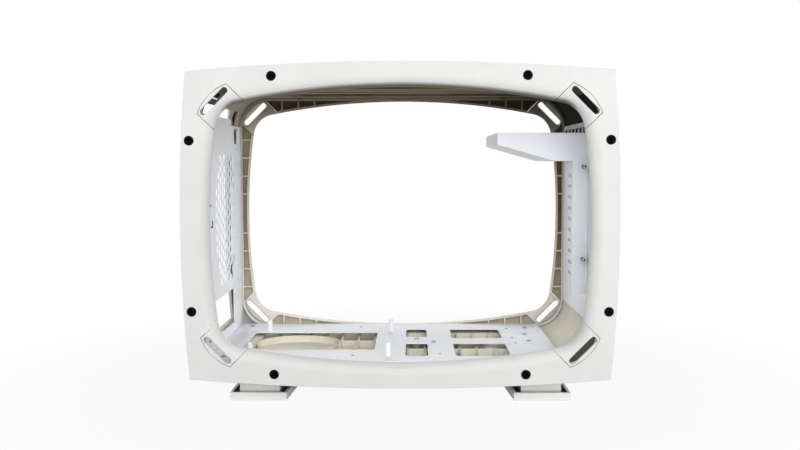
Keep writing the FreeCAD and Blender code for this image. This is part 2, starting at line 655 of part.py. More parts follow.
def floor_dishes(name, label, extra):
    """Round bars through the floor at the dishes, kept to one shell half."""
    bars = [rod(f"{name}_bar", "z", at, CELL_FLOOR, "tunnel_floor", f"{diameter} + {extra}")
            for at, diameter in DISHES]
    gap = "clearance / 2"
    depth = ("-shell_end", f"-{gap}") if label == "front_shell" else (gap, "shell_end")
    half = box(f"{name}_half", ("-panel", "panel"), depth, (CELL_FLOOR, "tunnel_floor"))
    return common(name, [group(f"{name}_bars", bars), half])


def corner_windows(outside):
    """Windows in the upper left of the shell, above the connector panel."""
    between = "-tunnel_width / 2 - shell_wall"
    skin = (f"-{outside}", between)
    liner = (between, "tunnel_corner - tunnel_width / 2")
    low = ("middle + corner_window_low", "middle + corner_window_high")
    high = ("middle + slot_window_low", "middle + slot_window_high")
    return [box("corner_skin_window", skin, ("-corner_window_front", "shell_window_back"), (low[0], high[1])),
            box("corner_window_one", liner, ("-corner_window_front", "corner_bar_y"), low),
            box("corner_window_two", liner, ("corner_bar_y + corner_bar", "corner_window_back"), low),
            box("corner_window_top", liner, ("-corner_window_front", "-slot_window_back"), high)]


def make_shells():
    """Front and rear shell halves with floor cells, screw bosses and the connector side cut out."""
    double = shell_half("shell")
    pad, cells = floor_cells("floor")
    front = cut("shell_floored", fuse("shell_padded", [double, pad]), cells)
    halves = (("front_shell", front), ("rear_shell", mirrored("shell_rear", front, Y_AXIS)))
    outside = "skin_width / 2"
    window_y = ("shell_window_front", "shell_window_back")
    window = box("shell_window", (f"-{outside}", "-panel + sheet"), window_y,
                 ("io_bottom", "middle + shell_window_top"))
    side_windows = [window] + corner_windows(outside)
    corner = box("metal_corner", ("-panel - sheet - clearance", "tunnel_corner - tunnel_width / 2"),
                 ("-shell_end", "shell_end"),
                 ("tray_top - sheet - clearance", "middle - skin_height / 4"))
    module = module_block("module_window", "tunnel_width / 2", outside, "0")
    hooks = [box("ceiling_hook", (f"{x} - hook_length / 2", f"{x} + hook_length / 2"),
                 (f"{y} - hook_width / 2", f"{y} + hook_width / 2"),
                 ("middle + tunnel_height / 2", "middle + tunnel_height / 2 + shell_wall"))
             for x in ("-hook_left", "hook_right") for y in ("-hook_y", "hook_y")]
    top = "tray_top - sheet"
    for label, half in halves:
        bosses = []
        pilots = []
        for x, y, below, spacer_foot in TRAY_SCREWS:
            if below != label:
                continue
            if spacer_foot is None:
                bosses.append(rod("tray_boss", "z", (x, y), "middle - skin_height / 2 + shell_wall / 2",
                                  top, "boss_diameter"))
            pilots.append(rod("tray_pilot", "z", (x, y), f"{top} - screw_length", top, "screw_diameter"))
        rims = floor_dishes(f"{label}_dish_rims", label, "2 * cell_wall")
        dishes = floor_dishes(f"{label}_dishes", label, "0")
        solid = fuse(f"{label}_bossed", [half, rims] + bosses)
        tools = group(f"{label}_tools", pilots + hooks + side_windows + [corner, module, dishes])
        keep(label, cut(f"{label}_solid", solid, tools))
    screws = []
    spacers = []
    for x, y, below, spacer_foot in TRAY_SCREWS:
        at = (x, y)
        if spacer_foot:
            body = rod("tray_spacer_rod", "z", at, spacer_foot, top, "boss_diameter")
            bore = rod("tray_spacer_bore", "z", at, spacer_foot, top, "screw_diameter")
            spacers.append(cut("tray_spacer", body, bore))
        shank = rod("tray_screw_shank", "z", at, "tray_top - sheet - screw_length + clearance", "tray_top",
                    "screw_diameter - 2 * clearance")
        head = rod("tray_screw_head", "z", at, "tray_top", "tray_top + screw_head_height", "screw_head")
        screws.append(fuse("tray_screw", [shank, head]))
    keep("tray_screws", group("tray_screw_group", screws))
    keep("tray_spacers", group("tray_spacer_group", spacers))


def cutout(name, x, y):
    """Rounded window down through the tray."""
    block = box(f"{name}_block", x, y, ("tray_top - sheet", "tray_top"))
    return round_edges(name, block, value("cutout_corner"), runs_along(Z_AXIS))


def board_places():
    for sign_x in "-+":
        for sign_y in "-+":
            yield f"(-board_x {sign_x} board_hole_x / 2)", f"(-board_y {sign_y} board_hole_y / 2)"


def make_tray():
    """Bottom tray with its windows, and the four board posts."""
    left = "-panel + clearance"
    depth = ("-sheet_reach", "tray_back")
    plate = box("tray_plate", (left, "tray_right"), depth, ("tray_top - sheet", "tray_top"))
    folded = ("tray_top - tray_fold", "tray_top")
    fold = box("tray_fold_right", ("tray_right - sheet", "tray_right"), depth, folded)
    back_fold = box("tray_fold_back", ("tunnel_corner - tunnel_width / 2", "tray_right"),
                    ("tray_back - sheet", "tray_back"), folded)
    small = ("small_window_x", "small_window_x + small_window_width")
    side = ("side_window_x", "side_window_x + side_window_width")
    front = ("-front_window_front", "-front_window_back")
    windows = [cutout("large_window", ("large_window_edge - panel", "-large_window_right"),
                      ("-large_window_front", "large_window_back")),
               cutout("small_window_back", small, ("small_back_front", "back_window_back")),
               cutout("small_window_front", small, front),
               cutout("side_window_back", side, ("side_back_front", "back_window_back")),
               cutout("side_window_front", side, front)]
    holes = [rod("tray_screw_hole", "z", (x, y), "tray_top - sheet", "tray_top", "screw_diameter + clearance")
             for x, y, below, spacer_foot in TRAY_SCREWS]
    blank = fuse("tray_blank", [plate, fold, back_fold])
    keep("tray", cut("tray_solid", blank, group("tray_tools", windows + holes)))
    posts = []
    for at in board_places():
        top = "tray_top + post_height"
        body = rod("post_rod", "z", at, "tray_top", top, "post_diameter")
        bore = rod("post_bore", "z", at, f"{top} - post_hole_depth", top, "post_hole")
        posts.append(cut("post", body, bore))
    keep("board_posts", group("post_group", posts))


def beside_slit(y, z):
    """Test for a place in the field of the stepped slit, which has no hexagons."""
    margin = value("vent_pitch") / 2
    low = value("slit_top") - SLIT_STEPS * value("slit_step")
    return y > value("slit_front") - margin and low - margin < z < value("slit_top") + margin


def stepped_slit(name, x):
    """Slit that runs up in square steps behind the vent."""
    half = "slit_width / 2"
    runs = []
    for step in range(SLIT_STEPS + 1):
        z = f"(middle + slit_top - {step} * slit_step)"
        runs.append(box(f"{name}_level", x, (f"slit_front - {half}", f"slit_back + {half}"),
                        (f"{z} - {half}", f"{z} + {half}")))
        if step < SLIT_STEPS:
            y = "slit_front" if step % 2 else "slit_back"
            runs.append(box(f"{name}_rise", x, (f"{y} - {half}", f"{y} + {half}"), (f"{z} - slit_step", z)))
    return fuse(name, runs)


def hexagons():
    """Hexagon punches in upright columns inside the rounded vent field."""
    pitch = value("vent_pitch")
    column_pitch = pitch * 3 ** 0.5 / 2
    columns = int(value("vent_depth") / 2 / column_pitch)
    ranks = int(value("vent_height") / 2 / pitch) + 1
    punches = []
    for column in range(-columns, columns + 1):
        for rank in range(-ranks, ranks + 1):
            y = column * column_pitch
            z = (rank + 0.5 * (column % 2)) * pitch
            reach_y = (value("vent_depth") - pitch) / 2
            reach_z = (value("vent_height") - pitch) / 2
            if abs(y / reach_y) ** VENT_ROUNDNESS + abs(z / reach_z) ** VENT_ROUNDNESS > VENT_EDGE:
                continue
            if beside_slit(y + value("vent_y"), z):
                continue
            item = doc.addObject("Part::Prism", "hexagon")
            item.Polygon = 6
            bind(item, Circumradius="vent_hole / 2 / cos(30 deg)", Height="sheet")
            item.Placement.Rotation = FreeCAD.Rotation(Y_AXIS, 90) * FreeCAD.Rotation(Z_AXIS, 30)
            shift_y = f"{column} * vent_pitch * cos(30 deg)"
            shift_z = f"{rank + 0.5 * (column % 2)} * vent_pitch"
            punches.append(place(item, "-panel - sheet", f"vent_y + {shift_y}", f"middle + {shift_z}"))
    return punches


def make_panels():
    """Connector panel on the left and slotted panel on the right."""
    reach = ("-sheet_reach", "sheet_reach")
    left = ("-panel - sheet", "-panel")
    plate = box("io_plate", left, reach, ("tray_top - sheet", "middle + panel_top"))
    tab = box("io_tab", left, ("clearance - corner_window_front", "corner_bar_y - clearance"),
              ("middle", "middle + panel_tab"))
    io = box("io_opening", left, ("io_front", "io_back"),
             ("io_bottom", "io_bottom + io_height"))
    tall = box("io_cable_slot", left, ("cable_slot_y", "cable_slot_y + cable_slot_width"),
               ("middle + cable_slot_z", "middle + cable_slot_z + cable_slot_height"))
    small = [rod("fan_hole", "x", (f"vent_y {a} fan_hole_spacing / 2", f"middle {b} fan_hole_spacing / 2"),
                 *left, "fan_hole") for a in "-+" for b in "-+"]
    small.append(rod("panel_hole_rod", "x", ("cable_slot_y + cable_slot_width / 2",
                                             "middle + cable_slot_z - panel_hole_drop"), *left, "panel_hole"))
    tie_tops = [f"middle - tie_top - {step} * tie_pitch" for step in range(TIE_SLOTS)]
    ties = [box("tie_slot", left, ("-tie_y - tie_width / 2", "-tie_y + tie_width / 2"),
                (f"{top} - tie_length", top)) for top in tie_tops]
    tools = group("io_tools", [io, tall, stepped_slit("io_slit", left)] + small + ties + hexagons())
    keep("io_panel", cut("io_panel_solid", fuse("io_blank", [plate, tab]), tools))
    right = ("panel", "panel + sheet")
    blank = box("side_blank", right, reach, ("middle - panel_top", "middle + panel_top"))
    room = value("sheet_reach") + value("side_slot_front") - value("side_slot_length")
    top = "(middle + panel_top - side_slot_drop)"
    slots = []
    for step in range(int(room / value("side_slot_pitch")) + 1):
        y = f"(-side_slot_front + {step} * side_slot_pitch)"
        along = (y, f"{y} + side_slot_length")
        slots.append(box("side_slot", right, along, (f"{top} - side_slot_height", top)))
    for step in range(RACK_SLOTS):
        z = f"(middle - rack_bottom + {step} * rack_pitch)"
        slots.append(box("rack_slot", right, ("rack_y", "rack_y + rack_length"), (z, f"{z} + rack_height")))
    keep("side_panel", cut("side_panel_solid", blank, group("side_tools", slots)))


def straight_outline(sketch, points):
    """Closed outline of straight sides through points given as sheet expressions."""
    count = len(points)
    rough = [FreeCAD.Rotation(Z_AXIS, 360 * (n + 0.5) / count).multVec(X_AXIS) for n in range(count)]
    for n in range(count):
        sketch.addGeometry(Part.LineSegment(rough[n], rough[(n + 1) % count]))
    for n in range(count):
        sketch.addConstraint(Sketcher.Constraint("Coincident", n, 2, (n + 1) % count, 1))
    for n, (across, along) in enumerate(points):
        drive(sketch, Sketcher.Constraint("DistanceX", -1, 1, n, 1, rough[n].x), across)
        drive(sketch, Sketcher.Constraint("DistanceY", -1, 1, n, 1, rough[n].y), along)


def polygon(name, points, start, end):
    """Plate with a straight-sided outline in the XZ plane, carried along Y."""
    sketch = doc.addObject("Sketcher::SketchObject", f"{name}_outline")
    sketch.Placement.Rotation = FreeCAD.Rotation(X_AXIS, 90)
    place(sketch, "0", start, "0")
    straight_outline(sketch, points)
    return carried(name, sketch, Y_AXIS, f"({end}) - ({start})")


def arm_outline(inset):
    """Tapered side view of the arm, with its tip and underside set in by a named size."""
    top = "middle + arm_top"
    wall = "panel - clearance"
    root = f"{top} - arm_root_depth + {inset}"
    tip = f"panel - arm_length + {inset}"
    return [(tip, top), (tip, f"{top} - arm_tip_depth + {inset}"), ("panel - arm_root", root),
            (wall, root), (wall, top)]


def make_arm():
    """Folded arm on the right with its leg, and the two spacers on the leg."""
    wall = "panel - clearance"
    shell = cut("arm_box", polygon("arm_outside", arm_outline("0"), "-arm_front", "arm_back"),
                polygon("arm_inside", arm_outline("sheet"), "-arm_front + sheet", "arm_back - sheet"))
    upright = ("middle - leg_bottom", "middle + arm_top - arm_root_depth")
    leg = box("arm_leg", ("panel - leg_width", wall), ("-arm_front", "-arm_front + sheet"), upright)
    flange = box("arm_flange", (f"{wall} - sheet", wall), ("-arm_front", "-arm_front + leg_width"), upright)
    keep("arm_bracket", fuse("arm_solid", [shell, leg, flange]))
    spacers = []
    for z in ("spacer_top", "-spacer_bottom"):
        at = ("panel - spacer_edge", f"middle + {z}")
        tip = "-arm_front - spacer_length"
        body = rod("spacer_rod", "y", at, tip, "-arm_front", "spacer_diameter")
        spacers.append(cut("spacer", body, rod("spacer_bore", "y", at, tip, "-arm_front", "spacer_hole")))
    keep("leg_spacers", group("spacer_group", spacers))


def foot_body():
    """Foot with a hollow plate that spreads on its inner side and a straight neck, on its own origin."""
    body = doc.addObject("PartDesign::Body", "foot_body")
    ground = next(plane for plane in body.Origin.OriginFeatures if plane.Role == "XY_Plane")

    def plan(name, half_x, half_y, spread, level):
        """Sketch of a four-sided outline that spreads on its inner side, at a height over the ground."""
        sketch = body.newObject("Sketcher::SketchObject", name)
        sketch.AttachmentSupport = [(ground, "")]
        sketch.MapMode = "FlatFace"
        sketch.setExpression("AttachmentOffset.Base.z", expression(level))
        straight_outline(sketch, [(f"-({half_x})", f"-({half_y})"), (half_x, f"-({half_y})"),
                                  (half_x, half_y), (f"-({half_x}) - {spread}", half_y)])
        return sketch

    plate = body.newObject("PartDesign::Pad", "foot_plate_pad")
    plate.Profile = plan("foot_plan", "foot_front_width / 2", "foot_length / 2", "foot_flare", "0")
    bind(plate, Length="foot_plate")
    hollow = body.newObject("PartDesign::Pocket", "foot_hollow")
    hollow.Profile = plan("hollow_plan", "foot_front_width / 2 - foot_rim", "foot_length / 2 - foot_rim",
                          "foot_flare", "foot_plate")
    bind(hollow, Length="foot_plate - foot_floor")
    neck = body.newObject("PartDesign::Pad", "foot_neck_pad")
    neck.Profile = plan("neck_plan", "neck_width / 2", "neck_length / 2", "0", "0")
    bind(neck, Length="foot_lift - pad_height")
    return place(body, "foot_x", "-foot_front + foot_length / 2", "pad_height")


def make_feet():
    """Four feet and the rubber pads under them."""
    front_right = foot_body()
    rear_right = mirrored("foot_rear_right_body", front_right, Y_AXIS)
    keep("foot_front_right", front_right)
    keep("foot_rear_right", rear_right)
    keep("foot_front_left", mirrored("foot_front_left_body", front_right, X_AXIS))
    keep("foot_rear_left", mirrored("foot_rear_left_body", rear_right, X_AXIS))
    pads = []
    for side in "-+":
        for end in "-+":
            for shift in "-+":
                y = f"{end} (foot_front - foot_length / 2 {shift} foot_length / 4)"
                pads.append(rod("foot_pad", "z", (f"{side} foot_x", y), "0", "pad_height", "pad_diameter"))
    keep("foot_pads", group("foot_pad_group", pads))


def module_block(name, inner, outer, gap):
    """Room of the control module between two depths, with rounded corners."""
    half_y = f"(module_width / 2 - {gap})"
    half_z = f"(module_length / 2 - {gap})"
    block = box(f"{name}_block", (inner, outer), (f"-module_y - {half_y}", f"-module_y + {half_y}"),
                (f"middle + module_z - {half_z}", f"middle + module_z + {half_z}"))
    return round_edges(name, block, value("module_corner"), runs_along(X_AXIS))


def make_module():
    """Control module with the power button, its switch, two data ports and a sound jack."""
    inner = "(tunnel_width / 2 + clearance)"
    outer = "(skin_width / 2 + module_proud)"
    floor = f"({inner} + module_floor)"
    button_at = ("-module_y", "middle + module_z + button_offset")
    jack_at = ("-module_y", "middle + module_z + jack_offset")
    tools = [rod("button_bore", "x", button_at, floor, outer, "button_diameter + 2 * clearance"),
             rod("jack_room", "x", jack_at, floor, outer, "jack_diameter")]
    ports = []
    for step in range(2):
        z = f"(middle + module_z - port_start - {step} * port_pitch)"

        def port_box(name, inset, low):
            half_y = f"(port_width / 2 - {inset})"
            half_z = f"(port_length / 2 - {inset})"
            return box(name, (low, outer), (f"-module_y - {half_y}", f"-module_y + {half_y}"),
                       (f"{z} - {half_z}", f"{z} + {half_z}"))
        tools.append(port_box("port_room", "0", f"{outer} - port_depth"))
        can = cut("port_can", port_box("port_shell", "0", f"{outer} - port_depth"),
                  port_box("port_mouth", "port_wall", f"{outer} - port_depth + port_wall"))
        tongue = box("port_tongue_bar", (f"{outer} - port_depth", f"{outer} - port_wall"),
                     ("-module_y - port_tongue / 2", "-module_y + port_tongue / 2"),
                     (f"{z} - port_length / 2 + 2 * port_wall", f"{z} + port_length / 2 - 2 * port_wall"))
        ports.append(fuse("data_port", [can, tongue]))
    keep("control_module", cut("module_solid", module_block("module_body", inner, outer, "clearance"),
                               group("module_tools", tools)))
    keep("data_ports", group("data_port_group", ports))
    jack = rod("jack_rod", "x", jack_at, floor, outer, "jack_diameter")
    jack_hole = rod("jack_hole", "x", jack_at, f"{floor} + module_floor", outer, "jack_bore")
    keep("sound_jack", cut("jack_solid", jack, jack_hole))
    keep("power_button", rod("button_cap", "x", button_at, f"{outer} + button_proud - button_thick",
                             f"{outer} + button_proud", "button_diameter"))
    half = "switch_size / 2"
    keep("power_switch", box("switch_body", (floor, f"{floor} + switch_height"),
                             (f"{button_at[0]} - {half}", f"{button_at[0]} + {half}"),
                             (f"{button_at[1]} - {half}", f"{button_at[1]} + {half}")))


def check_and_write():
    """Every object computed, every piece valid, then one file for each piece."""
    doc.recompute()
    failed = [item.Name for item in doc.Objects if {"Invalid", "Error"} & set(item.State)]
    if failed:
        raise RuntimeError(f"objects failed: {failed}")
    os.makedirs("parts", exist_ok=True)
    for label, item in parts.items():
        if item.Shape.isNull() or not item.Shape.isValid():
            raise RuntimeError(f"piece is not valid: {label}")
    for label, item in parts.items():
        item.Shape.exportStep(f"parts/{label}.step")
        print(label, len(item.Shape.Solids), round(item.Shape.Volume))


make_frames()
make_shells()
make_tray()
make_panels()
make_arm()
make_feet()
make_module()
check_and_write()
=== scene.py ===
import json
import math

import bmesh
import bpy
from mathutils import Matrix, Vector


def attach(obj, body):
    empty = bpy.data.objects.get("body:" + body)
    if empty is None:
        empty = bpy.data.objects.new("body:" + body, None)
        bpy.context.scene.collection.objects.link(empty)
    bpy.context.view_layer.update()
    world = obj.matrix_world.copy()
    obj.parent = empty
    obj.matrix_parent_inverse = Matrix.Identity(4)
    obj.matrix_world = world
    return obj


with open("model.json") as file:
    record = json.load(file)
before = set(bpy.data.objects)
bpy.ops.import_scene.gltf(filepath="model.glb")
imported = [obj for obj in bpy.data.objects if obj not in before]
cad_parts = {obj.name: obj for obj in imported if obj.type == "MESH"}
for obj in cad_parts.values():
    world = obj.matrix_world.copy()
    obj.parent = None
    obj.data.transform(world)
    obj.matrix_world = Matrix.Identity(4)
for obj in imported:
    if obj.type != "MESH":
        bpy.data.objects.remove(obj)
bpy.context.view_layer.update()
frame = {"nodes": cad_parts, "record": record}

MM = 0.001
BODY = "case"

# Camera: place in millimetres, turns in radians, focal length for an 800 pixel wide image
CAMERA_PLACE = Vector((13.877, -1162.2, 265.42)) * MM
CAMERA_PITCH = -0.066
CAMERA_YAW = 0.013
CAMERA_ROLL = 0.002
FOCAL_PIXELS = 950
IMAGE_WIDTH = 800
SENSOR_WIDTH = 36

# Colours by place: starts and fades are distances along an axis, in millimetres
COAT_COLOUR = (0.67, 0.67, 0.66)
BARE_PLASTIC = (0.62, 0.57, 0.475)
# Shell, painted light and shade: a pale floor as painted light, a streaked brown ceiling as painted shade
# that is paler at the left and dark at the right, painted grey shade in the corners behind the front slots,
# painted dark shade on the wall behind the holes over the arm, and white painted light on the walls behind
# the panels
FLOOR_PAINTED_LIGHT = (0.8, 0.75, 0.65)
FLOOR_END = dict(start=45, fade=50)
CEILING_SHADE = (0.055, 0.036, 0.016)
CEILING_STREAKS = 0.75
STREAK_SCALE = (12, 150, 150)
CEILING_RISE = dict(start=250, fade=70)
LEFT_SHADE = (0.4, 0.36, 0.29)
LEFT_SIDE = dict(start=-210, fade=90)
CORNER_SHADE = (0.012, 0.011, 0.009)
CORNER_SIDE = dict(start=120, fade=80)
SLOT_SHADE = (0.11, 0.106, 0.088)
SLOT_DEPTH = dict(end=-65, fade=15)
VENT_SIDE = dict(start=205, fade=2)
VENT_RISE = dict(start=274, fade=4)
# Rear frame, painted light and shade: rib cells darker than the edges of their ribs and darker at the right
# as painted shade, pale below as painted light and brown at the top as painted shade, coated behind
CELL_LEFT_SHADE = (0.36, 0.31, 0.22)
CELL_RIGHT_SHADE = (0.22, 0.165, 0.095)
CELL_SIDE = dict(start=-180, fade=300)
CELL_EDGE = dict(start=125.3, fade=1.5)
CELL_LOW = (0.56, 0.5, 0.4)
EDGE_LOW = (0.8, 0.76, 0.68)
CELL_RISE = dict(start=50, fade=150)
CELL_TOP = (0.06, 0.042, 0.022)
EDGE_TOP = (0.3, 0.25, 0.18)
CELL_TOP_RISE = dict(start=300, fade=35)
COAT_DEPTH = dict(start=131.6, fade=0.6)
# Feet, painted light and shade: painted shade in the hollow, painted light on the neck. A turn is the
# upward part of the surface's normal, where the painted shade starts and where it is full
HOLLOW_SHADE = (0.045, 0.04, 0.036)
HOLLOW_TURN = (0.5, 0.6)
HOLLOW_FLOOR = dict(end=6, fade=0.4)
HOLLOW_RIM = dict(end=9.2, fade=0.4)
FOOT_CENTRE = (158, 84)
FOOT_INWARD = dict(end=-1, fade=1)
NECK_PAINTED_LIGHT = (0.95, 0.95, 0.94)
NECK_RISE = dict(start=9.7, fade=0.3)
# Front frame: painted shade on the underside of the upper lip
LIP_SHADE = (0.16, 0.135, 0.1)
LIP_TURN = (-0.6, -0.88)
LIP_RISE = dict(start=300, fade=15)
# Boxes round the middle of the case, half width and half height in millimetres: past a reach from them lie
# the outer skin, the rims of the frames, the hollow corners of the shell and the walls behind the panels
SKIN_BOX = (199, 136.5)
SKIN_REACH = 28.8
RIM_BOX = (224, 160)
RIM_REACH = 0.5
LINER_BOX = (180.5, 116.5)
LINER_REACH = 42
CORNER_SHARE = 8
WALL_BOX = (216, 112)
BOX_DEPTH = 1000
BOX_FADE = 0.4

# Surfaces: base colour, spread of the colour, roughness, size and height of the grain in millimetres, and
# the specular level as sheen, where it is not the usual one
SHEEN = 0.15
FINISHES = {
    "frame_white": dict(colour=COAT_COLOUR, spread=0.03, rough=0.5, grain=0.7, height=0.012),
    "foot_white": dict(colour=(0.76, 0.76, 0.75), spread=0.03, rough=0.5, grain=0.7, height=0.012),
    "shell_cream": dict(colour=BARE_PLASTIC, spread=0.05, rough=0.7, grain=0.9, height=0.015, sheen=0.03),
    # Ceiling ribs: the bare plastic in painted brown shade, like the ceiling around them
    "rib_cream": dict(colour=(0.4, 0.33, 0.23), spread=0.08, rough=0.7, grain=0.9, height=0.015,
                      sheen=0.03),
    "module_plastic": dict(colour=(0.62, 0.62, 0.61), spread=0.03, rough=0.45, grain=0.6, height=0.01),
    "button_plastic": dict(colour=(0.74, 0.74, 0.73), spread=0.02, rough=0.35, grain=0.5, height=0.006),
    "sheet_white": dict(colour=(0.84, 0.86, 0.9), spread=0.03, rough=0.38, grain=1.4, height=0.02),
    "post_white": dict(colour=(0.88, 0.9, 0.92), spread=0.02, rough=0.35, grain=1.0, height=0.01),
    "socket_black": dict(colour=(0.004, 0.004, 0.004), spread=0.3, rough=0.7, grain=0.6, height=0.01,
                         sheen=0.05),
    "pad_rubber": dict(colour=(0.018, 0.018, 0.018), spread=0.2, rough=0.75, grain=0.8, height=0.02),
    "spacer_steel": dict(colour=(0.07, 0.07, 0.075), spread=0.15, rough=0.35, grain=0.5, height=0.008,
                         metal=1.0),
    "screw_steel": dict(colour=(0.4, 0.41, 0.43), spread=0.12, rough=0.32, grain=0.5, height=0.008,
                        metal=1.0),
    "port_steel": dict(colour=(0.5, 0.5, 0.52), spread=0.1, rough=0.3, grain=0.4, height=0.006, metal=1.0),
}
# Noise and edges of all surfaces, sizes in millimetres
BLOTCH_SIZE = 60
BLOTCH_NOISE = dict(Detail=4.0, Roughness=0.6)
FINE_NOISE = dict(Detail=3.0, Roughness=0.55)
STREAK_NOISE = dict(Scale=1.0, Detail=3.0, Roughness=0.6)
DRIFT_ENDS = (0.3, 0.7)
GLOSS_SPREAD = 0.15
BUMP_STRENGTH = 0.5
EDGE_RADIUS = 0.5
EDGE_SAMPLES = 6

# Floor: half width in metres, tone, share of plain white near the object, and where the white takes over
FLOOR_REACH = 40
FLOOR_TONE = 0.5
FLOOR_WHITE = 0.93
FADE_START = 0.3
FADE_END = 0.7

# Studio light: places and sizes in metres, power in watts
WORLD_LIGHT = 0.03
LAMPS = {
    "key": dict(place=(0.1, -1.8, 1.4), target=(0, 0, 0.2), size=(1.6, 1.0), power=19),
    "front": dict(place=(0.5, -2.2, 0.4), target=(0, 0, 0.2), size=(1.6, 0.8), power=19),
    "right": dict(place=(1.5, -1.1, 0.55), target=(0, 0, 0.2), size=(0.8, 1.2), power=10),
    "left": dict(place=(-1.5, -1.1, 0.55), target=(0, 0, 0.2), size=(0.8, 1.2), power=10),
    "top": dict(place=(0, 0.2, 1.9), target=(0, 0, 0.2), size=(1.6, 1.6), power=6),
    "back": dict(place=(0, 1.8, 1.1), target=(0, 0, 0.1), size=(1.6, 1.0), power=10),
    "rear_right": dict(place=(1.7, 0.9, 0.6), target=(0, 0, 0.2), size=(0.8, 1.2), power=12),
    "rear_left": dict(place=(-1.7, 0.9, 0.6), target=(0, 0, 0.2), size=(0.8, 1.2), power=8),
}
# Details, in millimetres and radians: the middle height of the case, the inner faces of the panels, the top
# of the tray and the front face of the frame, then the pieces. Heights on panels and ceiling count from the
# middle
MIDDLE = 196
PANEL = 218
TRAY_TOP = 46
FACE = 138
SCREWS = [(19, 8), (39.7, -12), (156.5, -5), (156.5, 39), (162, 86), (138, -106), (-200, -100), (-200, 95)]
SCREW_HEAD = 1.6
CROSS = dict(arm=1.7, half=0.36, sink=0.1, height=0.2)
SOCKETS = [(137.5, 162), (227, 93)]
LEAF = dict(inner=2.2, outer=3.1, start=0.8, end=4.2, count=4, share=0.8, steps=8)
# Spacer tips: white rings, a painted highlight on the end faces of the spacers
SPACERS = [(212.4, 64.2), (212.4, -43.7)]
SPACER_TIP = dict(inner=1.5, outer=2.4, front=-68.3, back=-67.9, steps=28)
# Stepped slit: the white strip in it is painted light that shows through the slit
SLIT_LIGHT = dict(front=62, back=94, top=29, step=14.6, levels=6, half=0.6, proud=0.25, depth=0.6)
CLIPS = [((44.8, 47.2), (-73, -61)), ((-77.4, -74.6), (18.6, 21.4)), ((-66.6, -65), (-6, 2)),
         ((-73, -66.6), (-6, -4.4))]
CLIP_PROUD = 0.6
TRAY_HOLES = [(138, 84), (156, 49), (138.6, 18), (139, -18.5), (139, -87.5), (45.5, -83.5), (-54.5, 93.5),
              (-54.5, -92.5)]
HOLE = dict(radius=1.9, low=-0.05, high=0.06, steps=16)
CEILING = 155.5
CEILING_RIBS = [-92, -36, -10, 22, 92]
RIB = dict(reach=172, width=2.4, drop=1.6, sink=0.1)
SEAM = dict(inner=38.7, outer=39.1, start=-1.4, end=-0.12, front=-0.7, back=0.7, steps=24)
SOFTEN = 0.12
SOFTEN_STEPS = 2
SHARP_ANGLE = math.pi / 4
WELD = 1e-4


def link(tree, source, output, target, socket):
    tree.links.new(source.outputs[output], target.inputs[socket])


def add(tree, kind, **values):
    """Node with its plain settings made and its named inputs filled."""
    node = tree.nodes.new(kind)
    for name, value in values.items():
        if hasattr(node, name):
            setattr(node, name, value)
        else:
            node.inputs[name.replace("_", " ")].default_value = value
    return node


def tone_drift(tree, source, colour, spread):
    """Colour that drifts a little lighter and darker with a noise."""
    tone = add(tree, "ShaderNodeValToRGB")
    low, high = tone.color_ramp.elements
    low.position, high.position = DRIFT_ENDS
    low.color = (*[channel * (1 - spread) for channel in colour], 1)
    high.color = (*[min(1, channel * (1 + spread)) for channel in colour], 1)
    link(tree, source, "Fac", tone, "Fac")
    return tone


def share_from(tree, source, output, start, fade):
    """0 before a distance and 1 after it."""
    share = add(tree, "ShaderNodeMapRange", From_Min=start * MM, From_Max=(start + fade) * MM)
    link(tree, source, output, share, "Value")
    return share


def share_to(tree, source, output, end, fade):
    """1 before a distance and 0 after it."""
    share = add(tree, "ShaderNodeMapRange", From_Min=end * MM, From_Max=(end + fade) * MM, To_Min=1.0,
                To_Max=0.0)
    link(tree, source, output, share, "Value")
    return share


def combine(tree, operation, one, other):
    """Two shares made into one."""
    node = add(tree, "ShaderNodeMath", operation=operation)
    link(tree, one, 0, node, 0)
    link(tree, other, 0, node, 1)
    return node


def vector_step(tree, operation, source, output, value=None):
    """Vector node with a first input from another node and maybe a plain second one."""
    node = add(tree, "ShaderNodeVectorMath", operation=operation)
    link(tree, source, output, node, 0)
    if value is not None:
        node.inputs[1].default_value = value
    return node


def parts_of(tree, source, output):
    node = add(tree, "ShaderNodeSeparateXYZ")
    link(tree, source, output, node, "Vector")
    return node


def blend_tones(tree, share, under, over):
    mix = add(tree, "ShaderNodeMixRGB")
    link(tree, share, 0, mix, "Fac")
    link(tree, under, "Color", mix, "Color1")
    link(tree, over, "Color", mix, "Color2")
    return mix


def layer(tree, along, axis, spot, under, over):
    """One colour over another from a distance along an axis on."""
    return blend_tones(tree, share_from(tree, along, axis, **spot), under, over)


def past_box(tree, place, half):
    """How far a spot lies past a box round the middle of the case, along each axis."""
    centred = vector_step(tree, "SUBTRACT", place, "Object", (0, 0, MIDDLE * MM))
    folded = vector_step(tree, "ABSOLUTE", centred, "Vector")
    past = vector_step(tree, "SUBTRACT", folded, "Vector", (half[0] * MM, BOX_DEPTH * MM, half[1] * MM))
    return vector_step(tree, "MAXIMUM", past, "Vector", (0, 0, 0))


def beyond(tree, past, reach):
    """1 on what lies farther out than a reach from a box, 0 nearer."""
    far = vector_step(tree, "LENGTH", past, "Vector")
    return share_from(tree, far, "Value", reach, BOX_FADE)


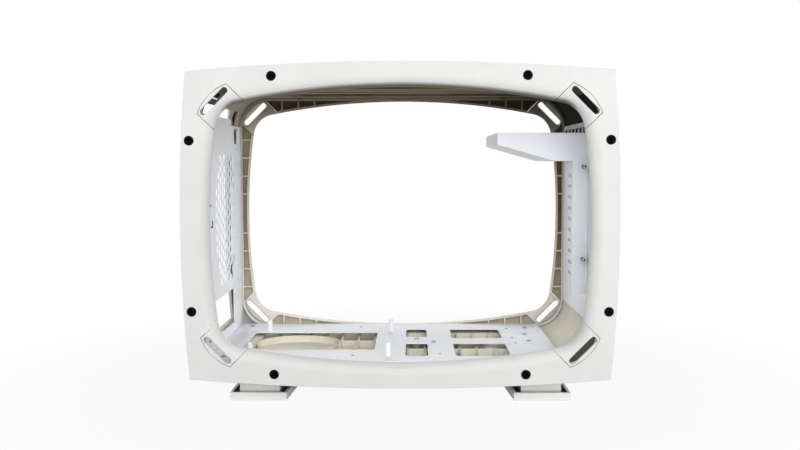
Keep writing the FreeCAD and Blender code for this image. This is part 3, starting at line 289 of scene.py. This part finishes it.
def hollow_corners(tree, place, along):
    """1 where grey shade is painted: corners of the shell, between its walls or right behind the front
    frame, 0 at the lower left.
    """
    past = past_box(tree, place, LINER_BOX)
    sides = parts_of(tree, past, "Vector")
    least = add(tree, "ShaderNodeMath", operation="MINIMUM")
    link(tree, sides, "X", least, 0)
    link(tree, sides, "Z", least, 1)
    corners = share_from(tree, least, "Value", CORNER_SHARE, BOX_FADE)
    front = share_to(tree, along, "Y", **SLOT_DEPTH)
    hidden = combine(tree, "MAXIMUM", beyond(tree, past, LINER_REACH), front)
    right = share_from(tree, along, "X", 0, BOX_FADE)
    upper = share_from(tree, along, "Z", MIDDLE, BOX_FADE)
    return combine(tree, "MULTIPLY", combine(tree, "MULTIPLY", corners, hidden),
                   combine(tree, "MAXIMUM", right, upper))


def walls_behind(tree, place):
    """1 on the walls of the shell behind the side panels, where white light is painted."""
    sides = parts_of(tree, past_box(tree, place, WALL_BOX), "Vector")
    return combine(tree, "MULTIPLY", share_from(tree, sides, "X", 0, BOX_FADE),
                   share_to(tree, sides, "Z", 0, BOX_FADE))


def facing_up(tree, start, end):
    """0 to 1 as the upward part of the surface's normal goes from a start to an end."""
    facing = parts_of(tree, add(tree, "ShaderNodeNewGeometry"), "Normal")
    share = add(tree, "ShaderNodeMapRange", From_Min=start, From_Max=end)
    link(tree, facing, "Z", share, "Value")
    return share


def facing_inward(tree, place, centre):
    """1 on walls that face the middle of the foot that they belong to."""
    folded = vector_step(tree, "ABSOLUTE", place, "Object")
    offset = vector_step(tree, "SUBTRACT", folded, "Vector", (centre[0] * MM, centre[1] * MM, 0))
    level = vector_step(tree, "MULTIPLY", offset, "Vector", (1, 1, 0))
    side = vector_step(tree, "SIGN", place, "Object")
    turned = vector_step(tree, "MULTIPLY", add(tree, "ShaderNodeNewGeometry"), "Normal")
    link(tree, side, "Vector", turned, 1)
    outward = vector_step(tree, "DOT_PRODUCT", level, "Vector")
    link(tree, turned, "Vector", outward, 1)
    return share_to(tree, outward, "Value", **FOOT_INWARD)


def shell_layers(tree, place, along, blotch, tone, spread):
    """Painted light on floor and walls behind panels, painted shade on ceiling, corners and vent wall,
    white skin.
    """
    # Painted shade on the ceiling: streaked dark brown, paler at the left and near black at the right
    stretch = add(tree, "ShaderNodeMapping", Scale=STREAK_SCALE)
    link(tree, place, "Object", stretch, "Vector")
    streaks = add(tree, "ShaderNodeTexNoise", **STREAK_NOISE)
    link(tree, stretch, "Vector", streaks, "Vector")
    ceiling = tone_drift(tree, streaks, CEILING_SHADE, CEILING_STREAKS)
    floor = tone_drift(tree, blotch, FLOOR_PAINTED_LIGHT, spread)
    left = tone_drift(tree, blotch, LEFT_SHADE, spread)
    corner = tone_drift(tree, blotch, CORNER_SHADE, spread)
    slot = tone_drift(tree, blotch, SLOT_SHADE, spread)
    coat = tone_drift(tree, blotch, COAT_COLOUR, spread)
    upper = layer(tree, along, "X", LEFT_SIDE, left, ceiling)
    upper = layer(tree, along, "X", CORNER_SIDE, upper, corner)
    # Painted light: the floor and low walls of the shell are paler, as where light falls on them
    tone = layer(tree, along, "Z", FLOOR_END, floor, tone)
    tone = layer(tree, along, "Z", CEILING_RISE, tone, upper)
    # Painted grey shade in the corners behind the front slots
    tone = blend_tones(tree, hollow_corners(tree, place, along), tone, slot)
    # Painted light: the walls behind the side panels are white, so that the panels' holes show light
    tone = blend_tones(tree, walls_behind(tree, place), tone, coat)
    # Painted dark shade on the wall behind the holes over the arm
    vents = combine(tree, "MULTIPLY", share_from(tree, along, "X", **VENT_SIDE),
                    share_from(tree, along, "Z", **VENT_RISE))
    tone = blend_tones(tree, vents, tone, corner)
    skin = beyond(tree, past_box(tree, place, SKIN_BOX), SKIN_REACH)
    return blend_tones(tree, skin, tone, coat)


def rear_layers(tree, place, along, blotch, tone, spread):
    """Bare inside with painted shade in the rib cells, painted light below and painted shade at the top,
    and the coat on the face and the rim.
    """
    # Painted shade: the rib cells are darker than the edges of their ribs, and darker at the right
    left = tone_drift(tree, blotch, CELL_LEFT_SHADE, spread)
    right = tone_drift(tree, blotch, CELL_RIGHT_SHADE, spread)
    cells = layer(tree, along, "X", CELL_SIDE, left, right)
    # Painted light below and painted brown shade at the top, on cells and edges
    cells = layer(tree, along, "Z", CELL_TOP_RISE, cells, tone_drift(tree, blotch, CELL_TOP, spread))
    cells = layer(tree, along, "Z", CELL_RISE, tone_drift(tree, blotch, CELL_LOW, spread), cells)
    edges = tone_drift(tree, blotch, BARE_PLASTIC, spread)
    edges = layer(tree, along, "Z", CELL_TOP_RISE, edges, tone_drift(tree, blotch, EDGE_TOP, spread))
    edges = layer(tree, along, "Z", CELL_RISE, tone_drift(tree, blotch, EDGE_LOW, spread), edges)
    inside = layer(tree, along, "Y", CELL_EDGE, edges, cells)
    bare = layer(tree, along, "Y", COAT_DEPTH, inside, tone)
    rim = beyond(tree, past_box(tree, place, RIM_BOX), RIM_REACH)
    return blend_tones(tree, rim, bare, tone)


def foot_layers(tree, place, along, blotch, tone, spread):
    """Painted shade in the hollow of the plate of a foot, and painted light on the neck."""
    # Painted shade on the floor and the inner walls of the hollow
    dark = tone_drift(tree, blotch, HOLLOW_SHADE, spread)
    neck = tone_drift(tree, blotch, NECK_PAINTED_LIGHT, spread)
    floor = combine(tree, "MULTIPLY", facing_up(tree, *HOLLOW_TURN),
                    share_to(tree, along, "Z", **HOLLOW_FLOOR))
    walls = combine(tree, "MULTIPLY", facing_inward(tree, place, FOOT_CENTRE),
                    share_to(tree, along, "Z", **HOLLOW_RIM))
    # Painted light: the neck is brighter than the rest of the foot
    tone = layer(tree, along, "Z", NECK_RISE, tone, neck)
    return blend_tones(tree, combine(tree, "MAXIMUM", floor, walls), tone, dark)


def lip_layers(tree, place, along, blotch, tone, spread):
    """Painted brown shade on the underside of the upper lip."""
    dark = tone_drift(tree, blotch, LIP_SHADE, spread)
    under = combine(tree, "MULTIPLY", facing_up(tree, *LIP_TURN), share_from(tree, along, "Z", **LIP_RISE))
    return blend_tones(tree, under, tone, dark)


LAYERS = {"shell_cream": shell_layers, "frame_coated_outside": rear_layers, "foot_white": foot_layers,
          "frame_white": lip_layers}


def finish_material(name, colour, spread, rough, grain, height, metal=0.0, sheen=SHEEN):
    """Moulded or coated surface: broad tone drift, fine grain in the gloss and height, softened edges."""
    material = bpy.data.materials.new(name)
    material.use_nodes = True
    tree = material.node_tree
    shader = tree.nodes["Principled BSDF"]
    shader.inputs["Metallic"].default_value = metal
    shader.inputs["Specular IOR Level"].default_value = sheen
    place = add(tree, "ShaderNodeTexCoord")
    blotch = add(tree, "ShaderNodeTexNoise", Scale=1 / (BLOTCH_SIZE * MM), **BLOTCH_NOISE)
    fine = add(tree, "ShaderNodeTexNoise", Scale=1 / (grain * MM), **FINE_NOISE)
    link(tree, place, "Object", blotch, "Vector")
    link(tree, place, "Object", fine, "Vector")
    tone = tone_drift(tree, blotch, colour, spread)
    # Some finishes get painted light and shade by place and by the surface's normal
    if name in LAYERS:
        along = parts_of(tree, place, "Object")
        tone = LAYERS[name](tree, place, along, blotch, tone, spread)
    link(tree, tone, "Color", shader, "Base Color")
    gloss = add(tree, "ShaderNodeMapRange", To_Min=rough * (1 - GLOSS_SPREAD),
                To_Max=min(1, rough * (1 + GLOSS_SPREAD)))
    link(tree, fine, "Fac", gloss, "Value")
    link(tree, gloss, "Result", shader, "Roughness")
    edge = add(tree, "ShaderNodeBevel", samples=EDGE_SAMPLES, Radius=EDGE_RADIUS * MM)
    bump = add(tree, "ShaderNodeBump", Strength=BUMP_STRENGTH, Distance=height * MM)
    link(tree, fine, "Fac", bump, "Height")
    link(tree, edge, "Normal", bump, "Normal")
    link(tree, bump, "Normal", shader, "Normal")
    return material


def dress_nodes():
    """Each node of the frame gets the finish of its slot, or one of its own."""
    materials = {slot: finish_material(slot, **values) for slot, values in FINISHES.items()}
    coated = finish_material("frame_coated_outside", **FINISHES["frame_white"])
    for row in frame["record"]["subparts"]:
        node, slot = row["node"], row["material_slot"]
        finish = materials[slot]
        if node == "leg_spacers":
            finish = materials["spacer_steel"]
        elif node.startswith("rear_") and slot == "frame_white":
            finish = coated
        mesh = frame["nodes"][node].data
        mesh.materials.clear()
        mesh.materials.append(finish)
    return materials


def piece(name, mesh, material):
    """New piece of the case from a finished mesh, in millimetres."""
    bmesh.ops.remove_doubles(mesh, verts=mesh.verts, dist=WELD)
    bmesh.ops.recalc_face_normals(mesh, faces=mesh.faces)
    bmesh.ops.scale(mesh, vec=(MM, MM, MM), verts=mesh.verts)
    data = bpy.data.meshes.new(name)
    mesh.to_mesh(data)
    mesh.free()
    data.materials.append(material)
    item = bpy.data.objects.new(name, data)
    bpy.context.scene.collection.objects.link(item)
    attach(item, BODY)


def prism(mesh, outline, axis, low, high):
    """Closed block over an outline of points, carried from a low to a high place along an axis."""
    def spot(pair, level):
        coordinates = list(pair)
        coordinates.insert("xyz".index(axis), level)
        return mesh.verts.new(coordinates)

    base = [spot(pair, low) for pair in outline]
    top = [spot(pair, high) for pair in outline]
    mesh.faces.new(base)
    mesh.faces.new(top)
    for n, corner in enumerate(base):
        after = (n + 1) % len(base)
        mesh.faces.new((corner, base[after], top[after], top[n]))


def arc(inner, outer, centre, start, end, steps):
    """Outline of a part of a flat ring."""
    turns = [start + (end - start) * n / steps for n in range(steps + 1)]
    rim = [(centre[0] + outer * math.cos(a), centre[1] + outer * math.sin(a)) for a in turns]
    bore = [(centre[0] + inner * math.cos(a), centre[1] + inner * math.sin(a)) for a in reversed(turns)]
    return rim + bore


def soften(mesh):
    """Small round on the sharp edges of a mesh."""
    sharp = [edge for edge in mesh.edges
             if len(edge.link_faces) == 2 and edge.calc_face_angle(0) > SHARP_ANGLE]
    bmesh.ops.bevel(mesh, geom=sharp, offset=SOFTEN, segments=SOFTEN_STEPS, affect="EDGES",
                    clamp_overlap=True)


def screw_crosses(materials):
    """Thin dark crosses on the heads of the tray screws, painted shade that shows as cross recesses."""
    mesh = bmesh.new()
    arm, half = CROSS["arm"], CROSS["half"]
    quarter = [(arm, -half), (arm, half), (half, half)]
    outline = []
    for cosine, sine in ((1, 0), (0, 1), (-1, 0), (0, -1)):
        outline += [(x * cosine - y * sine, x * sine + y * cosine) for x, y in quarter]
    low = TRAY_TOP + SCREW_HEAD - CROSS["sink"]
    for x, y in SCREWS:
        prism(mesh, [(x + a, y + b) for a, b in outline], "z", low, low + CROSS["height"])
    piece("screw_crosses", mesh, materials["socket_black"])


def socket_leaves(materials):
    """Split rings that grip a stud in each snap socket."""
    mesh = bmesh.new()
    share = LEAF["share"] * math.tau / LEAF["count"]
    spots = [(x, z) for across, up in SOCKETS
             for x in (-across, across) for z in (MIDDLE - up, MIDDLE + up)]
    for side in (-1, 1):
        places = sorted(side * (FACE - LEAF[end]) for end in ("start", "end"))
        for spot in spots:
            for leaf in range(LEAF["count"]):
                start = leaf * math.tau / LEAF["count"]
                outline = arc(LEAF["inner"], LEAF["outer"], spot, start, start + share, LEAF["steps"])
                prism(mesh, outline, "y", *places)
    piece("socket_leaves", mesh, materials["socket_black"])


def spacer_tip_highlights(materials):
    """White rings at the ends of the leg spacers, a painted highlight on their end faces."""
    mesh = bmesh.new()
    half = SPACER_TIP["steps"] // 2
    for x, up in SPACERS:
        for start in (0, math.pi):
            outline = arc(SPACER_TIP["inner"], SPACER_TIP["outer"], (x, MIDDLE + up), start,
                          start + math.pi, half)
            prism(mesh, outline, "y", SPACER_TIP["front"], SPACER_TIP["back"])
    piece("spacer_tip_highlights", mesh, materials["post_white"])


def stepped_slit_light(materials):
    """White strip that fills the stepped slit of the connector panel, painted light that shows through the
    slit.
    """
    path = []
    for level in range(SLIT_LIGHT["levels"]):
        z = MIDDLE + SLIT_LIGHT["top"] - level * SLIT_LIGHT["step"]
        ends = [(SLIT_LIGHT["front"], z), (SLIT_LIGHT["back"], z)]
        path += ends if level % 2 == 0 else ends[::-1]
    left, right = [], []
    for n, (y, z) in enumerate(path):
        before = path[max(n - 1, 0)]
        after = path[min(n + 1, len(path) - 1)]
        runs = [(y - before[0], z - before[1]), (after[0] - y, after[1] - z)]
        normals = {(-math.copysign(1, b) if b else 0, math.copysign(1, a) if a else 0)
                   for a, b in runs if a or b}
        shift = (sum(a for a, b in normals) * SLIT_LIGHT["half"], sum(b for a, b in normals) * SLIT_LIGHT["half"])
        left.append((y + shift[0], z + shift[1]))
        right.append((y - shift[0], z - shift[1]))
    mesh = bmesh.new()
    prism(mesh, left + right[::-1], "x", -PANEL - SLIT_LIGHT["depth"], -PANEL + SLIT_LIGHT["proud"])
    soften(mesh)
    piece("slit_painted_light", mesh, materials["post_white"])


def panel_clips(materials):
    """Small black clips on the connector panel."""
    mesh = bmesh.new()
    for (front, back), (low, high) in CLIPS:
        outline = [(front, MIDDLE + low), (back, MIDDLE + low),
                   (back, MIDDLE + high), (front, MIDDLE + high)]
        prism(mesh, outline, "x", -PANEL, -PANEL + CLIP_PROUD)
    soften(mesh)
    piece("panel_clips", mesh, materials["socket_black"])


def tray_holes(materials):
    """Thin dark discs on the tray, painted shade that shows as small screw holes."""
    mesh = bmesh.new()
    turns = [math.tau * n / HOLE["steps"] for n in range(HOLE["steps"])]
    for x, y in TRAY_HOLES:
        outline = [(x + HOLE["radius"] * math.cos(a), y + HOLE["radius"] * math.sin(a)) for a in turns]
        prism(mesh, outline, "z", TRAY_TOP + HOLE["low"], TRAY_TOP + HOLE["high"])
    piece("tray_holes", mesh, materials["socket_black"])


def ceiling_ribs(materials):
    """Low ribs across the ceiling of the shell, coloured in painted brown shade."""
    mesh = bmesh.new()
    top = MIDDLE + CEILING + RIB["sink"]
    low = top - RIB["drop"]
    half = RIB["width"] / 2
    for y in CEILING_RIBS:
        outline = [(y - half, top), (y - half, low), (y + half, low), (y + half, top)]
        prism(mesh, outline, "x", -RIB["reach"], RIB["reach"])
    soften(mesh)
    piece("ceiling_ribs", mesh, materials["rib_cream"])


def seam_lip(materials):
    """Lip of the shell's seam in the lower right corner, white as a painted highlight along its step."""
    mesh = bmesh.new()
    centre = (LINER_BOX[0], MIDDLE - LINER_BOX[1])
    outline = arc(SEAM["inner"], SEAM["outer"], centre, SEAM["start"], SEAM["end"], SEAM["steps"])
    prism(mesh, outline, "y", SEAM["front"], SEAM["back"])
    piece("seam_lip", mesh, materials["post_white"])


def make_camera():
    turn = (Matrix.Rotation(CAMERA_YAW, 3, "Z") @ Matrix.Rotation(CAMERA_PITCH, 3, "X")
            @ Matrix.Rotation(CAMERA_ROLL, 3, "Y"))
    look = turn @ Matrix.Rotation(math.pi / 2, 3, "X")
    data = bpy.data.cameras.new("camera")
    data.sensor_width = SENSOR_WIDTH
    data.lens = FOCAL_PIXELS / IMAGE_WIDTH * SENSOR_WIDTH
    camera = bpy.data.objects.new("camera", data)
    camera.matrix_world = Matrix.Translation(CAMERA_PLACE) @ look.to_4x4()
    bpy.context.scene.collection.objects.link(camera)
    bpy.context.scene.camera = camera


def area_lamp(name, place, target, size, power):
    data = bpy.data.lights.new(name, "AREA")
    data.shape = "RECTANGLE"
    data.size, data.size_y = size
    data.energy = power
    lamp = bpy.data.objects.new(name, data)
    aim = (Vector(target) - Vector(place)).to_track_quat("-Z", "Y")
    lamp.matrix_world = Matrix.Translation(place) @ aim.to_matrix().to_4x4()
    bpy.context.scene.collection.objects.link(lamp)


def seen_ray(tree):
    """1 for rays from the camera and for those that a glossy surface sends on."""
    path = add(tree, "ShaderNodeLightPath")
    either = add(tree, "ShaderNodeMath", operation="MAXIMUM")
    link(tree, path, "Is Camera Ray", either, 0)
    link(tree, path, "Is Glossy Ray", either, 1)
    return either


def mix_shaders(tree, share, under, over, output):
    """One shader over another by a share, sent to the output node."""
    mix = add(tree, "ShaderNodeMixShader")
    link(tree, share, 0, mix, "Fac")
    link(tree, under, 0, mix, 1)
    link(tree, over, 0, mix, 2)
    link(tree, mix, "Shader", tree.nodes[output], "Surface")


def make_world(strength):
    """Even light, white where the camera or a glossy surface looks past the object."""
    world = bpy.data.worlds.new("studio")
    bpy.context.scene.world = world
    world.use_nodes = True
    tree = world.node_tree
    even = tree.nodes["Background"]
    even.inputs["Color"].default_value = (1, 1, 1, 1)
    even.inputs["Strength"].default_value = strength
    white = add(tree, "ShaderNodeBackground", Color=(1, 1, 1, 1), Strength=1.0)
    mix_shaders(tree, seen_ray(tree), even, white, "World Output")


def make_floor():
    """Pale floor with a faint shadow near the object, which runs out into white."""
    mesh = bpy.data.meshes.new("floor")
    corners = [(-FLOOR_REACH, -FLOOR_REACH, 0), (FLOOR_REACH, -FLOOR_REACH, 0),
               (FLOOR_REACH, FLOOR_REACH, 0), (-FLOOR_REACH, FLOOR_REACH, 0)]
    mesh.from_pydata(corners, [], [(0, 1, 2, 3)])
    floor = bpy.data.objects.new("floor", mesh)
    bpy.context.scene.collection.objects.link(floor)
    material = bpy.data.materials.new("floor")
    material.use_nodes = True
    tree = material.node_tree
    tree.nodes.remove(tree.nodes["Principled BSDF"])
    lit = add(tree, "ShaderNodeBsdfDiffuse", Color=(FLOOR_TONE, FLOOR_TONE, FLOOR_TONE, 1))
    white = add(tree, "ShaderNodeEmission", Color=(1, 1, 1, 1), Strength=1.0)
    place = add(tree, "ShaderNodeTexCoord")
    far = vector_step(tree, "LENGTH", place, "Object")
    fade = add(tree, "ShaderNodeMapRange", interpolation_type="SMOOTHSTEP", From_Min=FADE_START,
               From_Max=FADE_END, To_Min=FLOOR_WHITE, To_Max=1.0)
    link(tree, far, "Value", fade, "Value")
    share = combine(tree, "MULTIPLY", fade, seen_ray(tree))
    mix_shaders(tree, share, lit, white, "Material Output")
    mesh.materials.append(material)


materials = dress_nodes()
for details in (screw_crosses, socket_leaves, spacer_tip_highlights, stepped_slit_light, panel_clips, tray_holes,
                ceiling_ribs, seam_lip):
    details(materials)
make_camera()
make_world(WORLD_LIGHT)
for name, values in LAMPS.items():
    area_lamp(name, **values)
make_floor()

bpy.context.scene.view_settings.view_transform = "Standard"
